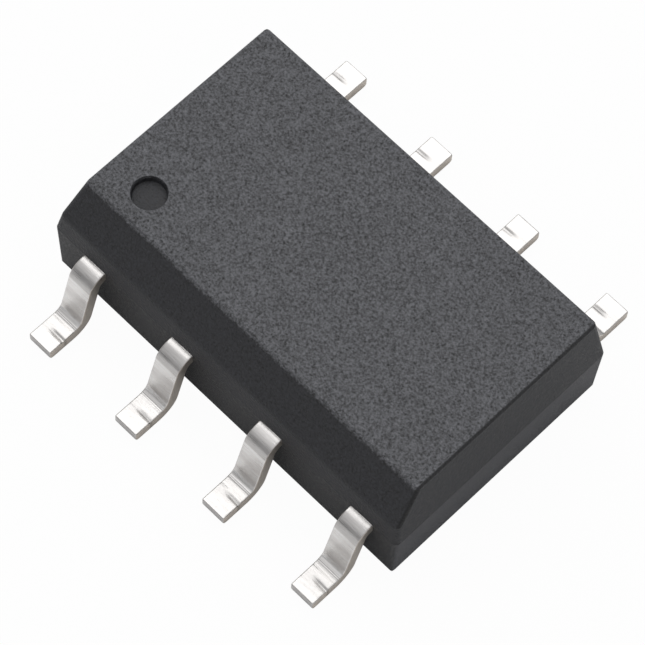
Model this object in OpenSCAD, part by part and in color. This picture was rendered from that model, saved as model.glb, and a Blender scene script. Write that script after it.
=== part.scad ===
// Eight-lead small-outline chip: the moulded body, its gull-wing leads, and the die paddle, die
// and bond wires that the moulding seals in. The origin is the middle of the seating plane, under
// the lead feet. X runs along the lead rows, +Y points to the far row and +Z points up.
// Lead 1 is at the -X end of the near row (-Y); the numbers run anticlockwise seen from above.

/* [Moulded body] */
// Length at the parting line, along the lead rows
body_l = 4.88; // [4.60:0.02:6.40]
// Width at the parting line, across the lead rows
body_w = 3.02; // [2.80:0.02:4.00]
// Gap between the underside and the seating plane
standoff = 0.06; // [0.02:0.01:0.20]
// Height of the parting line, which is also the upper face of the leads where they come out
parting_z = 0.87; // [0.78:0.01:1.04]
// Height of the top face
body_top_z = 1.56; // [1.46:0.01:1.90]
// How far the upper sides lean in between the parting line and the top face
upper_draft = 0.11; // [0.05:0.005:0.14]
// How far the lower sides lean in between the parting line and the underside
lower_draft = 0.02; // [0.02:0.005:0.08]
// Plan radius of the upright corners at the parting line
corner_r = 0.06; // [0.03:0.01:0.12]
// Radius of the edges round the top face
top_edge_r = 0.045; // [0.02:0.005:0.05]
// Radius of the edges round the underside
bottom_edge_r = 0.08; // [0.03:0.005:0.10]

/* [Lead 1 side bevel and mark] */
// Height where the bevel leaves the near side
bevel_start_z = 1.14; // [1.02:0.01:1.24]
// How far the bevel reaches in over the top face, from where it starts
bevel_depth = 0.33; // [0.20:0.01:0.40]
// Radius of the soft bend where the bevel leaves the side
bevel_bend_r = 0.15; // [0.05:0.01:0.18]
// Radius of the edge between the bevel and the top face
bevel_top_r = 0.03; // [0.01:0.005:0.05]
// Radius of the slanting edges between the bevel and the ends
bevel_end_r = 0.05; // [0.02:0.005:0.06]
// Distance from the -X end of the body to the middle of the round mark
mark_from_end = 0.65; // [0.50:0.01:0.90]
// Distance from the near side of the body to the middle of the round mark
mark_from_side = 0.72; // [0.66:0.01:1.20]
// Rim radius of the round mark
mark_r = 0.195; // [0.10:0.005:0.22]
// Depth of the round mark
mark_depth = 0.08; // [0.03:0.01:0.10]
// How far the wall of the mark leans in between rim and floor
mark_wall_lean = 0.02; // [0:0.005:0.04]

/* [Underside] */
// Radius of the shallow ejector-pin marks on the underside
ejector_r = 0.35; // [0.20:0.01:0.40]
// Depth of the ejector-pin marks
ejector_depth = 0.02; // [0.01:0.005:0.03]
// Distance of each ejector-pin mark from the middle of the body
ejector_x = 1.45; // [1.00:0.05:1.60]

/* [Leads] */
// How far the leadframe sits towards +X from the middle of the body
frame_shift = 0.06; // [0:0.01:0.08]
// Distance between the middles of neighbouring leads in a row
lead_pitch = 1.27; // [1.05:0.01:1.32]
// Width of a lead outside the body
lead_w = 0.31; // [0.25:0.01:0.40]
// Thickness of the leadframe strip
lead_t = 0.15; // [0.12:0.01:0.18]
// Flat length of lead between the body and the first bend
shoulder_l = 0.01; // [0:0.01:0.10]
// Bend radius at the shoulder, on the upper face
shoulder_r = 0.22; // [0.19:0.01:0.26]
// Bend radius above the foot, on the upper face
instep_r = 0.13; // [0.08:0.01:0.16]
// Lean of the leg away from upright
leg_lean = 15; // [8:1:24]
// Length of the foot, from the corner where leg and foot would meet unbent to the toe's tip
foot_l = 0.43; // [0.34:0.01:0.70]
// Radius of the lower edge of the toe, rolled over when the lead is cut
toe_r = 0.05; // [0.02:0.005:0.07]

/* [Leadframe inside the body] */
// Length of the plain lead between the side of the body and the bonding pad's flare
neck_l = 0.14; // [0.08:0.01:0.20]
// Length over which a lead widens to its bonding pad
flare_l = 0.12; // [0.06:0.01:0.16]
// Length of a bonding pad
pad_l = 0.30; // [0.24:0.01:0.36]
// Width of a bonding pad
pad_w = 0.52; // [0.44:0.01:0.60]
// How far the pads of the end leads are set towards the middle of the body
end_pad_shift = 0.14; // [0:0.01:0.20]
// Gap between the bonding pads and the die paddle
paddle_gap = 0.16; // [0.10:0.01:0.20]
// Length of the die paddle
paddle_l = 2.90; // [2.60:0.05:3.00]
// Chamfer on the corners of the die paddle
paddle_chamfer = 0.15; // [0.05:0.01:0.20]
// How far the die paddle lies below the leads
downset = 0.12; // [0.06:0.01:0.16]
// Width of the tie bars at the two ends of the die paddle
tie_w = 0.26; // [0.20:0.01:0.36]
// Bend radius of the tie bars, on the upper face
tie_bend_r = 0.20; // [0.19:0.01:0.24]
// Length of the ramp that lifts a tie bar from the paddle to the height of the leads
tie_ramp = 0.16; // [0.14:0.01:0.24]
// Moulding compound left between the end of a tie bar and the end of the body
tie_cover = 0.07; // [0.04:0.01:0.12]

/* [Die and bond wires] */
// Length of the die, along the lead rows
die_l = 1.70; // [1.40:0.05:1.90]
// Width of the die, across the lead rows
die_w = 0.95; // [0.80:0.05:1.00]
// Thickness of the die
die_t = 0.25; // [0.15:0.01:0.30]
// Thickness of the adhesive under the die
adhesive_t = 0.02; // [0.01:0.005:0.04]
// How far the adhesive shows round the die
adhesive_rim = 0.04; // [0.02:0.01:0.06]
// Distance from the edge of the die to the middle of a wire's ball
ball_inset = 0.07; // [0.05:0.01:0.10]
// Spacing of the balls along each side of the die
ball_pitch = 0.44; // [0.34:0.01:0.46]
// Radius of a bond wire
wire_r = 0.0125; // [0.009:0.0005:0.0165]
// Radius of the ball that joins a wire to the die
ball_r = 0.032; // [0.025:0.001:0.04]
// Thickness of the ball
ball_t = 0.015; // [0.010:0.001:0.02]
// Upright length of wire above the ball
riser_h = 0.06; // [0.03:0.01:0.10]
// Radius of the bend at the top of the wire, on its centre line
loop_r = 0.07; // [0.05:0.01:0.09]
// Length of the flattened stitch where a wire ends on its lead
stitch_l = 0.06; // [0.04:0.01:0.08]
// Distance from the inner tip of a bonding pad to the end of the wire
stitch_inset = 0.13; // [0.10:0.01:0.15]

/* [Hidden] */

$fn = 48;
row_count = 4;
// Length that runs past the whole body
reach = 10;
// Least step between surfaces, where two that only touch would leave slivers
hair = 0.0002;

half_l = body_l / 2;
half_w = body_w / 2;
upper_h = body_top_z - parting_z;
lower_h = parting_z - standoff;

// Bevel: where it leaves the side, where it meets the top, and its slope
bevel_start_y = -half_w + upper_draft * (bevel_start_z - parting_z) / upper_h;
bevel_top_y = bevel_start_y + bevel_depth;
bevel_len = norm([bevel_depth, body_top_z - bevel_start_z]);
bevel_normal = [0, -(body_top_z - bevel_start_z) / bevel_len, bevel_depth / bevel_len];
end_len = norm([upper_draft, upper_h]);
end_normal = [upper_h / end_len, 0, upper_draft / end_len];

// Leads: height between shoulder and foot, turn of each bend, and the bonding pads' inner ends
lead_drop = parting_z - lead_t;
bend_turn = 90 - leg_lean;
pad_tip_y = half_w - neck_l - flare_l - pad_l;

// Leadframe and die heights
paddle_w = 2 * (pad_tip_y - paddle_gap);
paddle_top_z = parting_z - downset;
die_base_z = paddle_top_z + adhesive_t;
die_top_z = die_base_z + die_t;

// Length of a tie bar that runs on inside the paddle plate
tie_root = 0.10;

// Lead number to its row (-1 near, 1 far) and its place along X
function lead_row(n) = n <= row_count ? -1 : 1;
function lead_slot(n) = n <= row_count ? n - 1 : 2 * row_count - n;
function along(n) = lead_slot(n) - (row_count - 1) / 2;
function lead_x(n) = frame_shift + along(n) * lead_pitch;
function pad_x(n) = lead_x(n) - (abs(along(n)) > 1 ? sign(along(n)) * end_pad_shift : 0);

// Unit vector, and the middle and touching points of an arc of radius r in the corner a-b-c
function unit(v) = v / norm(v);
function corner_angle(a, b, c) = acos(unit(a - b) * unit(c - b));
function arc_middle(a, b, c, r) = b + unit(unit(a - b) + unit(c - b)) * r / sin(corner_angle(a, b, c) / 2);
function arc_touch(a, b, c, r) = b + unit(a - b) * r / tan(corner_angle(a, b, c) / 2);

// What is cut from the corner a-b-c of a flat shape to leave an arc of radius r. The circle is a
// hair larger, so that it crosses the sides of the corner cleanly
module corner_cut(a, b, c, r) {
    middle = arc_middle(a, b, c, r);
    difference() {
        polygon([2 * b - middle, arc_touch(a, b, c, r), middle, arc_touch(c, b, a, r)]);
        translate(middle) circle(r + hair);
    }
}

// Section right across a half of the body, drafted and with rounded edges on both sides
module full_section(half, height, draft, edge_r) {
    foot = [half, 0];
    head = [half - draft, height];
    difference() {
        polygon([foot, head, [-head[0], height], [-half, 0]]);
        for (side = [0, 1]) mirror([side, 0]) corner_cut(foot, head, [0, height], edge_r);
    }
}

// One half of the moulding, standing on the parting plane. Two crossed prisms give the drafted
// sides, and each upright corner keeps its plan radius as it leans in with them
module mould_half(height, draft, edge_r) {
    lean = draft / height;
    difference() {
        intersection() {
            rotate([90, 0, 0]) linear_extrude(reach, center = true) full_section(half_l, height, draft, edge_r);
            rotate([90, 0, 90]) linear_extrude(reach, center = true) full_section(half_w, height, draft, edge_r);
        }
        for (quarter = [0 : 3])
            mirror([quarter % 2, 0, 0]) mirror([0, quarter < 2 ? 0 : 1, 0])
                multmatrix([[1, 0, -lean, half_l], [0, 1, -lean, half_w], [0, 0, 1, 0], [0, 0, 0, 1]])
                    linear_extrude(reach, center = true) corner_cut([-1, 0], [0, 0], [0, -1], corner_r);
    }
}

// Everything below the bevel, as a prism along the body
module bevel_prism() {
    low = [-half_w, parting_z];
    start = [bevel_start_y, bevel_start_z];
    head = [bevel_top_y, body_top_z];
    back = [reach, body_top_z];
    rotate([90, 0, 90]) linear_extrude(reach, center = true) difference() {
        polygon([low, start, head, back, [reach, parting_z]]);
        corner_cut(low, start, head, bevel_bend_r);
        corner_cut(start, head, back, bevel_top_r);
    }
}

// What is cut along the slanting edge between the bevel and the +X end to round it
module bevel_end_cut() {
    edge = unit(cross(end_normal, bevel_normal));
    side = cross(edge, end_normal);
    bevel_line = [-bevel_normal * side, bevel_normal * end_normal];
    corner = [
        half_l - upper_draft * (bevel_start_z - parting_z) / upper_h,
        bevel_start_y,
        bevel_start_z
    ];
    multmatrix([
        [end_normal[0], side[0], edge[0], corner[0]],
        [end_normal[1], side[1], edge[1], corner[1]],
        [end_normal[2], side[2], edge[2], corner[2]],
        [0, 0, 0, 1]
    ])
        linear_extrude(4 * bevel_len, center = true) corner_cut([0, -1], [0, 0], bevel_line, bevel_end_r);
}

// Upper half: drafted tray, cut by the bevel and rounded along the bevel's two ends
module upper_half() {
    difference() {
        intersection() {
            translate([0, 0, parting_z]) mould_half(upper_h, upper_draft, top_edge_r);
            bevel_prism();
        }
        for (side = [0, 1]) mirror([side, 0, 0]) bevel_end_cut();
    }
}

module lower_half() {
    translate([0, 0, parting_z]) mirror([0, 0, 1]) mould_half(lower_h, lower_draft, bottom_edge_r);
}

// Shallow round mark beside lead 1
module lead_1_mark() {
    translate([mark_from_end - half_l, mark_from_side - half_w, body_top_z - mark_depth])
        cylinder(h = mark_depth, r1 = mark_r - mark_wall_lean, r2 = mark_r);
}

module ejector_marks() {
    for (side = [-1, 1])
        translate([side * ejector_x, 0, standoff]) cylinder(h = ejector_depth, r = ejector_r);
}

// The moulding fits every piece that it seals in
module mold_body() {
    color("#3b3c40") difference() {
        union() {
            upper_half();
            lower_half();
        }
        lead_1_mark();
        ejector_marks();
        for (n = [1 : 2 * row_count]) {
            lead(n);
            bond_wire(n);
        }
        die_paddle();
        die_attach();
        die();
    }
}

// Leadframe strip seen from its edge: its upper face follows the corners of path, going along +X,
// and the bend at path[i] has the radius radii[i] on that face
module bent_strip(path, radii) {
    last = len(path) - 1;
    heading = [for (i = [1 : last]) unit(path[i] - path[i - 1])];
    normal = [for (h = heading) [h[1], -h[0]]];
    lower = [for (i = [0 : last])
        let (n1 = normal[max(i - 1, 0)], n2 = normal[min(i, last - 1)])
            path[i] + lead_t * (n1 + n2) / (1 + n1 * n2)];
    drops = [for (i = [1 : last - 1]) if (cross(heading[i - 1], heading[i]) < 0) i];
    rises = [for (i = [1 : last - 1]) if (cross(heading[i - 1], heading[i]) > 0) i];
    difference() {
        union() {
            polygon(concat(path, [for (i = [last : -1 : 0]) lower[i]]));
            for (i = drops) corner_cut(lower[i - 1], lower[i], lower[i + 1], radii[i] - lead_t);
            for (i = rises) corner_cut(path[i - 1], path[i], path[i + 1], radii[i]);
        }
        for (i = drops) corner_cut(path[i - 1], path[i], path[i + 1], radii[i]);
        for (i = rises) corner_cut(lower[i - 1], lower[i], lower[i + 1], radii[i] + lead_t);
    }
}

// Gull-wing outline from the neck to the toe, with the rolled lower edge of the toe
module gull_wing() {
    shoulder = [half_w + shoulder_l + shoulder_r * tan(bend_turn / 2), parting_z];
    instep = shoulder + lead_drop * [tan(leg_lean), -1];
    toe = instep + [foot_l, 0];
    difference() {
        bent_strip([[half_w - neck_l, parting_z], shoulder, instep, toe], [0, shoulder_r, instep_r]);
        corner_cut([instep[0], 0], [toe[0], 0], toe, toe_r);
    }
}

// Plan of the sealed part of a lead: half of the neck, and the flare to the bonding pad
module inner_plan(shift) {
    polygon([
        [-lead_w / 2, half_w - neck_l / 2],
        [-lead_w / 2, half_w - neck_l],
        [shift - pad_w / 2, half_w - neck_l - flare_l],
        [shift - pad_w / 2, pad_tip_y],
        [shift + pad_w / 2, pad_tip_y],
        [shift + pad_w / 2, half_w - neck_l - flare_l],
        [lead_w / 2, half_w - neck_l],
        [lead_w / 2, half_w - neck_l / 2]
    ]);
}

// One lead, from its bonding pad to its toe
module lead(n) {
    row = lead_row(n);
    color("#d8d5d0") translate([lead_x(n), 0, 0]) mirror([0, row < 0 ? 1 : 0, 0]) {
        rotate([90, 0, 90]) linear_extrude(lead_w, center = true) gull_wing();
        translate([0, 0, parting_z - lead_t]) linear_extrude(lead_t) inner_plan(pad_x(n) - lead_x(n));
    }
}

// Tie bar outline: a root in the paddle, a ramp up, and flat at the height of the leads
module tie_outline() {
    ramp_start = [paddle_l / 2 + tie_bend_r * tan(atan2(downset, tie_ramp) / 2), paddle_top_z];
    ramp_end = ramp_start + [tie_ramp, downset];
    tip = [half_l - upper_draft - tie_cover - frame_shift, parting_z];
    bent_strip([[paddle_l / 2 - tie_root, paddle_top_z], ramp_start, ramp_end, tip],
               [0, tie_bend_r, tie_bend_r]);
}

// Paddle plate with chamfered corners and a tie bar at each end
module die_paddle() {
    half_p = paddle_l / 2;
    half_q = paddle_w / 2;
    c = paddle_chamfer;
    color("#b87a4b") translate([frame_shift, 0, 0]) {
        translate([0, 0, paddle_top_z - lead_t]) linear_extrude(lead_t) polygon([
            [half_p, half_q - c], [half_p - c, half_q], [c - half_p, half_q], [-half_p, half_q - c],
            [-half_p, c - half_q], [c - half_p, -half_q], [half_p - c, -half_q], [half_p, c - half_q]
        ]);
        for (side = [0, 1]) mirror([side, 0, 0])
            rotate([90, 0, 0]) linear_extrude(tie_w, center = true) tie_outline();
    }
}

module die_attach() {
    color("#c9c4b4") translate([frame_shift - die_l / 2 - adhesive_rim, -die_w / 2 - adhesive_rim, paddle_top_z])
        cube([die_l + 2 * adhesive_rim, die_w + 2 * adhesive_rim, adhesive_t]);
}

module die() {
    color("#56606b") translate([frame_shift - die_l / 2, -die_w / 2, die_base_z]) cube([die_l, die_w, die_t]);
}

// One bond wire: ball on the die, riser, loop, straight run down to the lead, and stitch. The
// riser and the run each start inside the loop, which is a hair thicker
module bond_wire(n) {
    ball = [frame_shift + along(n) * ball_pitch, lead_row(n) * (die_w / 2 - ball_inset), die_top_z];
    landing = [pad_x(n), lead_row(n) * (pad_tip_y + stitch_inset), parting_z];
    span = norm([landing[0] - ball[0], landing[1] - ball[1]]);
    riser_top = ball_t + riser_h;
    // Straight run: leaves the loop along its tangent and ends at the landing
    fall = riser_top - (landing[2] - ball[2]) - wire_r;
    dip = atan2(fall, span - loop_r) + asin(loop_r / norm([fall, span - loop_r]));
    run_l = sqrt(fall * fall + pow(span - loop_r, 2) - loop_r * loop_r);
    color("#d9a441") translate(ball) rotate(atan2(landing[1] - ball[1], landing[0] - ball[0])) {
        cylinder(h = ball_t, r = ball_r);
        cylinder(h = riser_top + hair, r = wire_r);
        translate([loop_r, 0, riser_top]) rotate([90, -90 + dip, 0]) {
            rotate_extrude(angle = 90 + dip) translate([loop_r, 0]) circle(wire_r + hair);
            translate([loop_r, hair, 0]) rotate([90, 0, 0]) cylinder(h = run_l, r = wire_r);
        }
        translate([span - wire_r, -1.5 * wire_r, landing[2] - ball[2]])
            cube([stitch_l, 3 * wire_r, wire_r]);
    }
}

mold_body();
lead(1);  // lead_1
lead(2);  // lead_2
lead(3);  // lead_3
lead(4);  // lead_4
lead(5);  // lead_5
lead(6);  // lead_6
lead(7);  // lead_7
lead(8);  // lead_8
die_paddle();
die_attach();
die();
bond_wire(1);  // bond_wire_1
bond_wire(2);  // bond_wire_2
bond_wire(3);  // bond_wire_3
bond_wire(4);  // bond_wire_4
bond_wire(5);  // bond_wire_5
bond_wire(6);  // bond_wire_6
bond_wire(7);  // bond_wire_7
bond_wire(8);  // bond_wire_8
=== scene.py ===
import math

import bpy
import numpy as np
from mathutils import Matrix, Vector


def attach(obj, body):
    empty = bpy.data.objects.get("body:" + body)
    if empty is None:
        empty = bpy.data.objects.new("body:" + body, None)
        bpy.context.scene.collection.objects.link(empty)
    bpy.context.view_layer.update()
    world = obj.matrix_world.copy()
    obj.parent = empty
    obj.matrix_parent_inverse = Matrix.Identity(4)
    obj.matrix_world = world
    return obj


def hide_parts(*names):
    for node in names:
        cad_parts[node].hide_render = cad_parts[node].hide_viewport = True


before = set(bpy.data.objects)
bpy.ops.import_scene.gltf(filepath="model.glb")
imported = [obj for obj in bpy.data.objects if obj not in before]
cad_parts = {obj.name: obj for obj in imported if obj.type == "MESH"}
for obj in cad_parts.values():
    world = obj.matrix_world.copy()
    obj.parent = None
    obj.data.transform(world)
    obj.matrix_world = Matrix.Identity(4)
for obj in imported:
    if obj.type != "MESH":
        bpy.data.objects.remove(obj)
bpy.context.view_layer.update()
MM = 0.001

BOND_WIRES = [f"bond_wire_{n}" for n in range(1, 9)]

# Leads, in millimetres and degrees, as the leadframe strip is bent
PITCH = 1.27
ROW_COUNT = 4
FRAME_SHIFT = 0.06
BODY_HALF_WIDTH = 1.51
PARTING_HEIGHT = 0.87
STRIP_THICKNESS = 0.15
LEAD_WIDTH = 0.31
SHOULDER_FLAT = 0.01
SHOULDER_RADIUS = 0.22
INSTEP_RADIUS = 0.13
LEG_LEAN = 15.0
FOOT_LENGTH = 0.43
TOE_ROLL = 0.05
NECK_LENGTH = 0.14
FLARE_LENGTH = 0.12
PAD_LENGTH = 0.30
PAD_WIDTH = 0.52
END_PAD_SHIFT = 0.14
EDGE_ROUND = 0.014

# Stations along each stretch of the strip
RUN_STEPS = 31
BEND_STEPS = 26
LEG_STEPS = 15

# Marks of the bending tools on the upper face: two shallow waves, and a press mark across the foot
SWELL_HEIGHT, SWELL_WAVE = 0.0011, 41
RIPPLE_HEIGHT, RIPPLE_WAVE = 0.0008, 73
SWELL_START = 0.05
PRESS_MARK = 0.215
PRESS_WIDTH = 0.022
PRESS_DEPTH = 0.011
PRESS_END = -0.07

# Moulding: height of the top face, and its matt finish; the top face's colour is lighter than the sides' as
# painted sheen
BODY_TOP = 1.56
TOP_SKIN = (0.045, 0.013)
GRAIN_PER_MM = 40.0
GRAIN_CONTRAST = 10.0
GRAIN_DEPTH = 0.026
EPOXY_SIDE = (0.021, 0.0215, 0.0245, 1)
EPOXY_TOP_PAINTED_SHEEN = (0.087, 0.0885, 0.095, 1)

# Painted reflections on the tin along the strip (light bands, dark lines at the instep) and painted shade on
# the foot: share of the way from the body to the toe, and its tone
PAINTED_REFLECTION_BANDS = [
    (0.00, 0.60), (0.15, 0.66), (0.18, 1.00), (0.25, 1.00), (0.29, 0.90), (0.36, 0.90), (0.40, 1.00),
    (0.47, 1.00), (0.51, 0.90), (0.57, 0.92), (0.61, 1.00), (0.662, 0.98), (0.673, 0.45), (0.684, 0.90),
    (0.695, 0.42), (0.710, 0.62), (0.85, 0.59), (1.00, 0.62),
]
TIN_CUT_SIDE = (0.66, 0.605, 0.54, 1)
TIN_RELIEF = 0.0016

# Room and table: dark horizon to light zenith, and the share of plain white the table gives back
ROOM_STOPS = [(0.05, (0.13, 0.13, 0.135, 1)), (0.9, (0.80, 0.80, 0.81, 1))]
TABLE_HALF = 150
TABLE_COLOUR = (0.8, 0.8, 0.8, 1)
WHITE_SEEN = 0.965
WHITE_MIRRORED = 0.03
WHITE = (1, 1, 1, 1)


# ------------------------------------------------------------------ shader nodes

def add(tree, kind, inputs=(), **settings):
    """A shader node with its settings; inputs are constants, or sockets to link."""
    item = tree.nodes.new("ShaderNode" + kind)
    for name, value in settings.items():
        setattr(item, name, value)
    for key, value in dict(inputs).items():
        if isinstance(value, bpy.types.NodeSocket):
            tree.links.new(value, item.inputs[key])
        else:
            item.inputs[key].default_value = value
    return item


def calc(tree, operation, *values):
    """Result of one Math node."""
    return add(tree, "Math", enumerate(values), operation=operation).outputs[0]


def ease(tree, value, start, end, low=0.0, high=1.0):
    """Smooth step of value from start to end."""
    pins = {"Value": value, "From Min": start, "From Max": end, "To Min": low, "To Max": high}
    return add(tree, "MapRange", pins, interpolation_type="SMOOTHSTEP").outputs["Result"]


def blend(tree, share, first, second, how="MIX"):
    """Colour that goes from first to second by share, or first times second for MULTIPLY."""
    pins = {0: share, 6: first, 7: second}
    return add(tree, "Mix", pins, data_type="RGBA", blend_type=how).outputs[2]


def scaled(tree, value, mask, amount, base=1.0):
    """Value times (base + amount x mask)."""
    return calc(tree, "MULTIPLY", value, calc(tree, "MULTIPLY_ADD", mask, amount, base))


def new_tree(owner):
    """The emptied node tree of a new world or material."""
    owner.use_nodes = True
    owner.node_tree.nodes.clear()
    return owner.node_tree


# ------------------------------------------------------------------ camera, floor and light

def aim(position, target, roll=0.0):
    """The turn that points a camera or lamp from position at target, rolled by roll degrees."""
    forward = (target - position).normalized()
    right = forward.cross(Vector((0, 0, 1))).normalized()
    up = right.cross(forward)
    a = math.radians(roll)
    side = math.cos(a) * right + math.sin(a) * up
    top = math.cos(a) * up - math.sin(a) * right
    return Matrix((side, top, -forward)).transposed().to_4x4()


def make_camera(target, azimuth, elevation, roll, distance, lens):
    """Looks down on the chip from the near right; target and distance in millimetres."""
    data = bpy.data.cameras.new("camera")
    data.sensor_width = 36.0
    data.lens = lens
    data.clip_start = 0.001
    data.clip_end = 10.0
    target = Vector(target) * MM
    az, el = math.radians(azimuth), math.radians(elevation)
    back = Vector((math.sin(az) * math.cos(el), -math.cos(az) * math.cos(el), math.sin(el)))
    position = target + back * distance * MM
    camera = bpy.data.objects.new("camera", data)
    camera.matrix_world = Matrix.Translation(position) @ aim(position, target, roll)
    bpy.context.scene.collection.objects.link(camera)
    bpy.context.scene.camera = camera


def soft_lamp(name, direction, distance, size, power):
    """A square soft box in the given direction from the chip, sizes in millimetres."""
    data = bpy.data.lights.new(name, "AREA")
    data.shape = "SQUARE"
    data.size = size * MM
    data.energy = power
    position = Vector(direction).normalized() * distance * MM
    lamp = bpy.data.objects.new(name, data)
    lamp.matrix_world = Matrix.Translation(position) @ aim(position, Vector((0, 0, 0)))
    bpy.context.scene.collection.objects.link(lamp)


def make_world():
    """A soft room, dark at the horizon and light overhead; the camera sees it white."""
    world = bpy.data.worlds.new("studio")
    bpy.context.scene.world = world
    tree = new_tree(world)
    height = add(tree, "SeparateXYZ", {0: add(tree, "TexCoord").outputs["Generated"]}).outputs["Z"]
    ramp = add(tree, "ValToRGB", {"Fac": height})
    for stop, (place, colour) in zip(ramp.color_ramp.elements, ROOM_STOPS):
        stop.position = place
        stop.color = colour
    room = add(tree, "Background", {"Color": ramp.outputs["Color"]})
    white = add(tree, "Background", {"Color": WHITE})
    seen = add(tree, "LightPath").outputs["Is Camera Ray"]
    mix = add(tree, "MixShader", {0: seen, 1: room.outputs[0], 2: white.outputs[0]})
    add(tree, "OutputWorld", {"Surface": mix.outputs[0]})


def make_floor():
    """A flat table top under the feet; the camera sees it near white, with the chip's shadow."""
    half = TABLE_HALF * MM
    corners = [(-half, -half, 0), (half, -half, 0), (half, half, 0), (-half, half, 0)]
    mesh = bpy.data.meshes.new("floor")
    mesh.from_pydata(corners, [], [(0, 1, 2, 3)])
    floor = bpy.data.objects.new("floor", mesh)
    bpy.context.scene.collection.objects.link(floor)
    material = bpy.data.materials.new("white_table")
    tree = new_tree(material)
    matt = add(tree, "BsdfDiffuse", {"Color": TABLE_COLOUR})
    glow = add(tree, "Emission", {"Color": WHITE, "Strength": 1.0})
    path = add(tree, "LightPath").outputs
    mirrored = calc(tree, "MAXIMUM", path["Is Glossy Ray"], path["Is Transmission Ray"])
    mirrored = calc(tree, "MULTIPLY", mirrored, WHITE_MIRRORED)
    share = calc(tree, "MULTIPLY_ADD", path["Is Camera Ray"], WHITE_SEEN, mirrored)
    mix = add(tree, "MixShader", {0: share, 1: matt.outputs[0], 2: glow.outputs[0]})
    add(tree, "OutputMaterial", {"Surface": mix.outputs[0]})
    mesh.materials.append(material)


# ------------------------------------------------------------------ leads

def turn(start, heading, radius, sweep, count):
    """Arc in the strip's plane: start + radius x (the heading's quarter turn, swung by the sweep)."""
    a = np.radians(np.linspace(0, sweep, count + 1)[1:])
    side = np.sign(sweep) * np.array([-heading[1], heading[0]])
    centre = start + radius * side
    spin = np.stack([np.cos(a), np.sin(a)], -1)
    arm = start - centre
    x = arm[0] * spin[:, 0] - arm[1] * spin[:, 1]
    z = arm[0] * spin[:, 1] + arm[1] * spin[:, 0]
    return centre + np.stack([x, z], -1)


def strip_path():
    """Middle line of the strip, outward distance and height, from the bonding pad's tip to the toe.

    Straight run, shoulder arc down by (90 - lean), straight leg, instep arc back up, straight foot.
    Each arc's radius is that of the upper face, less or plus half the strip's thickness.
    """
    half = STRIP_THICKNESS / 2
    bend = 90 - LEG_LEAN
    tip = np.array([BODY_HALF_WIDTH - NECK_LENGTH - FLARE_LENGTH - PAD_LENGTH, PARTING_HEIGHT - half])
    flat_end = np.array([BODY_HALF_WIDTH + SHOULDER_FLAT, PARTING_HEIGHT - half])
    run = np.linspace(0, 1, RUN_STEPS)[:, None] * (flat_end - tip) + tip
    shoulder = turn(flat_end, np.array([1.0, 0.0]), SHOULDER_RADIUS - half, -bend, BEND_STEPS)
    down = np.array([math.cos(math.radians(bend)), -math.sin(math.radians(bend))])
    arc_drop = (1 - math.cos(math.radians(bend))) * (INSTEP_RADIUS + half)
    leg_length = (shoulder[-1, 1] - half - arc_drop) / -down[1]
    leg = shoulder[-1] + np.linspace(0, 1, LEG_STEPS)[1:, None] * leg_length * down
    instep = turn(leg[-1], down, INSTEP_RADIUS + half, bend, BEND_STEPS)
    corner = BODY_HALF_WIDTH + SHOULDER_FLAT + SHOULDER_RADIUS * math.tan(math.radians(bend / 2))
    corner += (PARTING_HEIGHT - STRIP_THICKNESS) * math.tan(math.radians(LEG_LEAN))
    toe = np.array([corner + FOOT_LENGTH, half])
    foot = instep[-1] + np.linspace(0, 1, RUN_STEPS)[1:, None] * (toe - instep[-1])
    return np.concatenate([run, shoulder, leg, instep, foot])


def arc_lengths(path):
    """Running length along the path."""
    return np.concatenate([[0], np.cumsum(np.linalg.norm(np.diff(path, axis=0), axis=1))])


def edge_fall(gap, radius):
    """How far a quarter-round of the radius has fallen at a gap from the end it rounds off."""
    inside = np.clip(radius - gap, 0, radius)
    return radius - np.sqrt(radius ** 2 - inside ** 2)


def section_ring():
    """Unit section of the strip: a walk round a rectangle, with the four corner arcs kept apart.

    Returns each point's side (-1 to 1 across and through the strip) and its outward corner arm.
    """
    flat, wall, arc = 18, 5, 4
    quarter = np.radians(np.linspace(0, 90, arc + 1))
    corners = [(1, 1), (-1, 1), (-1, -1), (1, -1)]
    sides, arms = [], []
    for n, (a, b) in enumerate(corners):
        swing = quarter + n * math.pi / 2
        arms.append(np.stack([np.cos(swing), np.sin(swing)], -1))
        sides.append(np.tile([a, b], (arc + 1, 1)).astype(float))
        a2, b2 = corners[(n + 1) % 4]
        steps = flat if n % 2 == 0 else wall
        t = np.linspace(0, 1, steps + 1)[1:-1, None]
        sides.append((1 - t) * [a, b] + t * [a2, b2])
        arms.append(np.tile(np.stack([np.cos(swing[-1]), np.sin(swing[-1])]), (steps - 1, 1)))
    return np.concatenate(sides), np.concatenate(arms)


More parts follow.
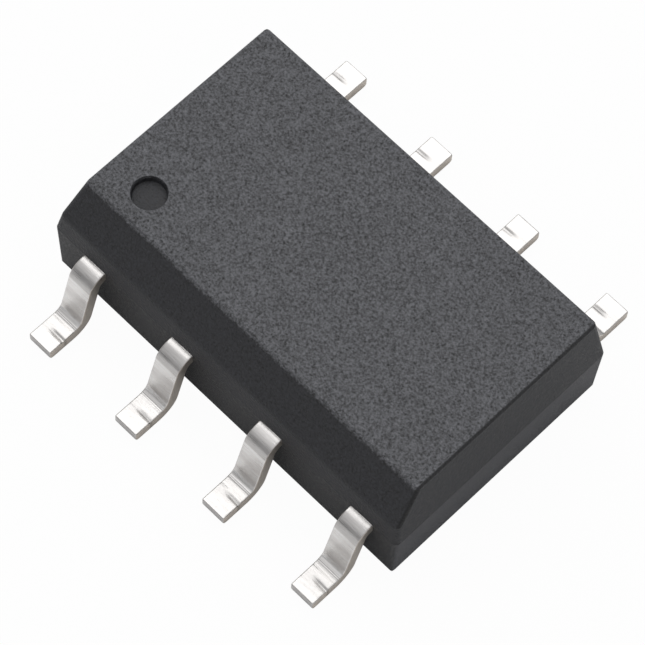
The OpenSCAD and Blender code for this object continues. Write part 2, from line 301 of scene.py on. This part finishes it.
def lead_surface(number):
    """One bent lead as a closed surface, with how far along and across the strip each point is.

    The section is a rectangle with round corners. It is carried along the middle line; its half
    width follows the pad, flare and neck, and near both ends it shrinks by a quarter-round. The
    underside of the toe rolls up by a larger quarter-round. The upper face has shallow swells from
    the bending tools (two sine waves along the strip), and one short press mark across the foot (a
    bell curve along the strip, faded out across it).
    """
    path = strip_path()
    length = arc_lengths(path)
    total = length[-1]
    # finer rings at both ends, for their rounded edges
    fine = EDGE_ROUND * (1 - np.cos(np.radians(np.linspace(0, 90, 6))))
    roll = TOE_ROLL * (1 - np.cos(np.radians(np.linspace(20, 90, 7))))
    stations = np.unique(np.round(np.concatenate([length, fine, total - fine, total - roll]), 6))
    at = np.stack([np.interp(stations, length, path[:, k]) for k in (0, 1)], -1)
    slope = np.gradient(path, length, axis=0)
    along = np.stack([np.interp(stations, length, slope[:, k]) for k in (0, 1)], -1)
    along /= np.linalg.norm(along, axis=1)[:, None]
    normal = np.stack([-along[:, 1], along[:, 0]], -1)

    row = -1 if number <= ROW_COUNT else 1
    slot = number - 1 if row < 0 else 2 * ROW_COUNT - number
    place = slot - (ROW_COUNT - 1) / 2
    shift = math.copysign(END_PAD_SHIFT, place) if abs(place) > 1 else 0.0
    flare = np.clip((stations - PAD_LENGTH) / FLARE_LENGTH, 0, 1)
    half_width = (PAD_WIDTH + (LEAD_WIDTH - PAD_WIDTH) * flare) / 2
    middle = shift * (1 - flare)
    shrink = edge_fall(stations, EDGE_ROUND) + edge_fall(total - stations, EDGE_ROUND)
    half_width = half_width - shrink
    lift = edge_fall(total - stations, TOE_ROLL)
    upper = STRIP_THICKNESS / 2 - shrink
    lower = -STRIP_THICKNESS / 2 + np.maximum(lift, shrink)

    sides, arms = section_ring()
    r = EDGE_ROUND
    across = middle[:, None] + sides[:, 0] * (half_width[:, None] - r) + r * arms[:, 0]
    mid, deep = (upper + lower) / 2, (upper - lower) / 2
    through = mid[:, None] + sides[:, 1] * (deep[:, None] - r) + r * arms[:, 1]

    s = stations[:, None] * np.ones_like(across)
    seed = 1.7 * number
    root = PAD_LENGTH + FLARE_LENGTH + NECK_LENGTH
    outside = np.clip((s - root) / SWELL_START, 0, 1)
    swell = SWELL_HEIGHT * np.sin(s * SWELL_WAVE + seed)
    swell += RIPPLE_HEIGHT * np.sin(s * RIPPLE_WAVE + 2.1 * seed + 3 * across)
    mark_at = total - FOOT_LENGTH + PRESS_MARK + 0.015 * math.sin(seed) + 0.05 * across
    mark = np.exp(-((s - mark_at) / PRESS_WIDTH) ** 2)
    mark *= np.clip((across * -row - PRESS_END) / 0.10, 0, 1)
    top = np.clip(sides[:, 1] * 4 - 3, 0, 1) * np.clip(arms[:, 1], 0, 1)
    through = through + top * outside * (swell - PRESS_DEPTH * mark)

    x = across + FRAME_SHIFT + place * PITCH
    y = at[:, 0, None] + through * normal[:, 0, None]
    z = at[:, 1, None] + through * normal[:, 1, None]
    return x, row * y, z, s, across, row


def lead_mesh(number):
    """Quads between neighbouring rings, and a fan of triangles over each end.

    The UV map strip_place holds how far across and along the strip each point is, in millimetres.
    """
    x, y, z, s, across, row = lead_surface(number)
    rings, points = x.shape
    verts = np.stack([x, y, z], -1).reshape(-1, 3)
    centres = np.stack([verts[:points].mean(0), verts[-points:].mean(0)])
    verts = np.concatenate([verts, centres]) * MM
    i, j = np.meshgrid(np.arange(rings - 1), np.arange(points), indexing="ij")
    k = (j + 1) % points
    quads = np.stack([i * points + j, i * points + k, (i + 1) * points + k, (i + 1) * points + j], -1)
    quads = quads.reshape(-1, 4)
    j = np.arange(points)
    k = (j + 1) % points
    last = (rings - 1) * points
    start_fan = np.stack([k, j, np.full(points, rings * points)], -1)
    end_fan = np.stack([last + j, last + k, np.full(points, rings * points + 1)], -1)
    faces = quads[:, ::-row].tolist() + start_fan[:, ::-row].tolist() + end_fan[:, ::-row].tolist()
    mesh = bpy.data.meshes.new(f"bent_lead_{number}")
    mesh.from_pydata(verts.tolist(), [], faces)
    place = np.stack([-row * across.ravel(), s.ravel()], -1)
    place = np.concatenate([place, [[0, s.min()], [0, s.max()]]])
    corners = np.empty(len(mesh.loops), np.int32)
    mesh.loops.foreach_get("vertex_index", corners)
    walk = mesh.uv_layers.new(name="strip_place")
    walk.data.foreach_set("uv", place[corners].astype(np.float32).ravel())
    mesh.polygons.foreach_set("use_smooth", np.ones(len(mesh.polygons), bool))
    mesh.update()
    return mesh


def make_leads(material):
    """The eight leads, each in place of its plain solid."""
    for number in range(1, 2 * ROW_COUNT + 1):
        mesh = lead_mesh(number)
        mesh.materials.append(material)
        lead = bpy.data.objects.new(f"bent_lead_{number}", mesh)
        bpy.context.scene.collection.objects.link(lead)
        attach(lead, "root")
        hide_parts(f"lead_{number}")


# ------------------------------------------------------------------ materials

def place_in_mm(tree):
    """Object coordinates in millimetres."""
    coords = {0: add(tree, "TexCoord").outputs["Object"], 1: (1000, 1000, 1000)}
    return add(tree, "VectorMath", coords, operation="MULTIPLY").outputs[0]


def build_fine_grain():
    """Group: two sizes of noise give a grain's height and, with more contrast, its speckle."""
    tree = bpy.data.node_groups.new("fine_grain", "ShaderNodeTree")
    sockets = [("Grains per mm", "INPUT"), ("Contrast", "INPUT"), ("Height", "OUTPUT"), ("Speckle", "OUTPUT")]
    for name, way in sockets:
        tree.interface.new_socket(name=name, in_out=way, socket_type="NodeSocketFloat")
    given = tree.nodes.new("NodeGroupInput")
    result = tree.nodes.new("NodeGroupOutput")
    place = place_in_mm(tree)
    per_mm = given.outputs["Grains per mm"]
    coarse = add(tree, "TexNoise", {"Vector": place, "Scale": per_mm, "Detail": 1.5})
    finer = calc(tree, "MULTIPLY", per_mm, 2.3)
    fine = add(tree, "TexNoise", {"Vector": place, "Scale": finer, "Detail": 1.0})
    both = calc(tree, "MULTIPLY_ADD", fine.outputs["Fac"], 0.5, coarse.outputs["Fac"])
    height = calc(tree, "DIVIDE", both, 1.5)
    swing = calc(tree, "SUBTRACT", height, 0.5)
    speckle = calc(tree, "MULTIPLY_ADD", swing, given.outputs["Contrast"], 0.5)
    tree.links.new(height, result.inputs["Height"])
    tree.links.new(speckle, result.inputs["Speckle"])
    return tree


def grain(tree, per_mm, contrast=2.0):
    """Places the grain group and gives its outputs."""
    pins = {"Grains per mm": per_mm, "Contrast": contrast}
    return add(tree, "Group", pins, node_tree=FINE_GRAIN).outputs


def streaks(tree, place, scale, detail):
    """Noise stretched by scale along each axis."""
    place = add(tree, "Mapping", {"Vector": place, "Scale": scale}).outputs[0]
    return add(tree, "TexNoise", {"Vector": place, "Scale": 1.0, "Detail": detail}).outputs["Fac"]


def principled(name, metallic=0.0):
    """A new material, its node tree and its Principled shader."""
    material = bpy.data.materials.new(name)
    material.use_nodes = True
    shader = material.node_tree.nodes["Principled BSDF"]
    shader.inputs["Metallic"].default_value = metallic
    return material, material.node_tree, shader


def finish(tree, shader, colour, roughness, height, depth):
    """Links colour, roughness and a bump whose full height is depth millimetres."""
    bump = add(tree, "Bump", {"Height": height, "Distance": depth * MM, "Strength": 1.0})
    tree.links.new(colour, shader.inputs["Base Color"])
    tree.links.new(roughness, shader.inputs["Roughness"])
    tree.links.new(bump.outputs["Normal"], shader.inputs["Normal"])


def moulding_compound():
    """Black epoxy: matt grain; the top face lighter as painted sheen, darker sides, a dark painted reflection
    along the edges that turn to the +X end, painted shade below the parting, painted light on the lower half
    of the ends, and a line at the parting.
    """
    material, tree, shader = principled("moulding_compound")
    coarse = grain(tree, GRAIN_PER_MM, GRAIN_CONTRAST)
    place = place_in_mm(tree)
    height = add(tree, "SeparateXYZ", {0: place}).outputs["Z"]
    facing = add(tree, "SeparateXYZ", {0: add(tree, "NewGeometry").outputs["Normal"]}).outputs
    cloud = add(tree, "TexNoise", {"Vector": place, "Scale": 1.3, "Detail": 2.0}).outputs["Fac"]

    # masks: the top's skin with a ragged rim, for its painted sheen; the parting line; the edges that turn to
    # the +X end, for a dark painted reflection; and what lies below the parting, for painted shade, and at
    # the ends on its own too, for painted light
    ragged = calc(tree, "MULTIPLY_ADD", coarse["Speckle"], 0.006, height)
    top = ease(tree, ragged, BODY_TOP - TOP_SKIN[0], BODY_TOP - TOP_SKIN[1])
    off_line = calc(tree, "ABSOLUTE", calc(tree, "SUBTRACT", height, PARTING_HEIGHT))
    line = ease(tree, off_line, 0.003, 0.012, 1.0, 0.0)
    # dark painted reflection along the edges that turn to the +X end
    painted_edge_reflection = calc(tree, "MULTIPLY", ease(tree, facing["X"], 0.2, 0.5), ease(tree, facing["Z"], 0.16, 0.4))
    # painted shade: darker below the parting line
    painted_shade_below = ease(tree, height, PARTING_HEIGHT - 0.03, PARTING_HEIGHT, 1.0, 0.0)
    end = ease(tree, calc(tree, "ABSOLUTE", facing["X"]), 0.5, 0.9)
    # painted light: the lower half of the end faces is lighter
    painted_light_lower_ends = calc(tree, "MULTIPLY", end, painted_shade_below)

    tone = calc(tree, "MULTIPLY_ADD", coarse["Speckle"], 0.5, 0.75)
    tone = scaled(tree, tone, cloud, 0.16, 0.92)
    for mask, amount in ((line, -0.35), (painted_edge_reflection, -0.8), (painted_shade_below, -0.45), (painted_light_lower_ends, 2.6)):
        tone = scaled(tree, tone, mask, amount)
    # painted sheen: the top face's skin takes a lighter colour than the sides
    colour = blend(tree, 1.0, blend(tree, top, EPOXY_SIDE, EPOXY_TOP_PAINTED_SHEEN), tone, "MULTIPLY")
    roughness = calc(tree, "MULTIPLY_ADD", top, 0.06, 0.50)
    roughness = calc(tree, "MULTIPLY_ADD", coarse["Speckle"], 0.10, roughness)
    relief = scaled(tree, coarse["Height"], top, 0.40, 0.60)
    relief = calc(tree, "MULTIPLY_ADD", line, 0.03, relief)
    finish(tree, shader, colour, roughness, relief, GRAIN_DEPTH)
    return material


def tin_plate():
    """Satin tin on bent strip: lines across the strip, painted reflection bands along the bends, painted
    shade on the foot and in the press mark, darker cut sides.
    """
    material, tree, shader = principled("tin_plate", 1.0)
    walk = add(tree, "UVMap", uv_map="strip_place").outputs["UV"]
    place = add(tree, "SeparateXYZ", {0: walk}).outputs
    across = calc(tree, "ABSOLUTE", place["X"])
    cut_side = ease(tree, across, LEAD_WIDTH / 2 - 0.008, LEAD_WIDTH / 2 - 0.001)
    lines = streaks(tree, walk, (5, 95, 1), 3.0)
    smear = streaks(tree, walk, (2.5, 12, 1), 2.0)

    # painted reflection bands along the strip, and painted shade on the foot, from the body to the toe
    total = float(arc_lengths(strip_path())[-1])
    root = PAD_LENGTH + FLARE_LENGTH + NECK_LENGTH
    reach = calc(tree, "DIVIDE", calc(tree, "SUBTRACT", place["Y"], root), total - root)
    ramp = add(tree, "ValToRGB", {0: reach})
    ramp.color_ramp.interpolation = "EASE"
    stops = ramp.color_ramp.elements
    for n, (share, tone) in enumerate(PAINTED_REFLECTION_BANDS):
        stop = stops[n] if n < 2 else stops.new(share)
        stop.position = share
        stop.color = (tone, tone * 0.975, tone * 0.95, 1)

    # the press mark's groove is darker as painted shade, and fades out where its groove does
    off_mark = calc(tree, "SUBTRACT", place["Y"], total - FOOT_LENGTH + PRESS_MARK)
    mark = ease(tree, calc(tree, "ABSOLUTE", off_mark), 0.004, 0.030, 1.0, 0.0)
    mark = calc(tree, "MULTIPLY", mark, ease(tree, place["X"], PRESS_END, 0.04))

    tone = calc(tree, "MULTIPLY_ADD", lines, 0.36, 0.82)
    tone = scaled(tree, tone, mark, -0.35)
    tone = scaled(tree, tone, smear, 0.20, 0.90)
    colour = blend(tree, cut_side, ramp.outputs["Color"], TIN_CUT_SIDE)
    colour = blend(tree, 1.0, colour, tone, "MULTIPLY")
    roughness = calc(tree, "MULTIPLY_ADD", lines, 0.22, 0.20)
    roughness = calc(tree, "MULTIPLY_ADD", cut_side, 0.12, roughness)
    relief = calc(tree, "MULTIPLY_ADD", grain(tree, 45.0)["Height"], 0.30, lines)
    finish(tree, shader, colour, roughness, relief, TIN_RELIEF)
    return material


def strip_copper():
    """Copper alloy strip, rolled along the leadframe."""
    material, tree, shader = principled("strip_copper", 1.0)
    lines = streaks(tree, place_in_mm(tree), (2, 60, 60), 2.0)
    spots = grain(tree, 12.0, 1.6)["Speckle"]
    colour = blend(tree, spots, (0.64, 0.36, 0.22, 1), (0.76, 0.46, 0.29, 1))
    finish(tree, shader, colour, calc(tree, "MULTIPLY_ADD", lines, 0.3, 0.2), lines, 0.001)
    return material


def grained(name, metallic, per_mm, contrast, dark, light, dull, swing, depth):
    """A finish whose colour, roughness (dull + swing x speckle) and relief follow one grain."""
    material, tree, shader = principled(name, metallic)
    marks = grain(tree, per_mm, contrast)
    colour = blend(tree, marks["Speckle"], dark, light)
    roughness = calc(tree, "MULTIPLY_ADD", marks["Speckle"], swing, dull)
    finish(tree, shader, colour, roughness, marks["Height"], depth)
    return material


def silver_paste():
    """Cured die adhesive with silver flakes."""
    dark, light = (0.42, 0.41, 0.38, 1), (0.74, 0.73, 0.69, 1)
    return grained("silver_paste", 0.4, 40.0, 2.5, dark, light, dull=0.65, swing=-0.25, depth=0.004)


def silicon():
    """Polished die with a faint haze of its layers."""
    dark, light = (0.075, 0.085, 0.105, 1), (0.11, 0.12, 0.14, 1)
    return grained("silicon", 0.0, 6.0, 1.2, dark, light, dull=0.10, swing=0.08, depth=0.0003)


def drawn_gold():
    """Fine gold wire with a soft drawn sheen."""
    dark, light = (0.82, 0.58, 0.22, 1), (0.90, 0.68, 0.30, 1)
    return grained("drawn_gold", 1.0, 60.0, 1.5, dark, light, dull=0.20, swing=0.12, depth=0.0004)


def finish_node(name, material):
    """Gives a carried solid its finish."""
    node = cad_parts[name]
    node.data.materials.clear()
    node.data.materials.append(material)


FINE_GRAIN = build_fine_grain()

make_camera(target=(0.2159, -0.3059, 0.86), azimuth=40.604, elevation=65.152, roll=4.854,
            distance=35.908, lens=198.75)
make_world()
make_floor()
soft_lamp("overhead", direction=(-0.52, 0.44, 1.0), distance=60, size=66, power=0.0172)

finish_node("mold_body", moulding_compound())
finish_node("die_paddle", strip_copper())
finish_node("die_attach", silver_paste())
finish_node("die", silicon())
gold = drawn_gold()
for wire in BOND_WIRES:
    finish_node(wire, gold)
make_leads(tin_plate())

bpy.context.scene.view_settings.view_transform = "Standard"
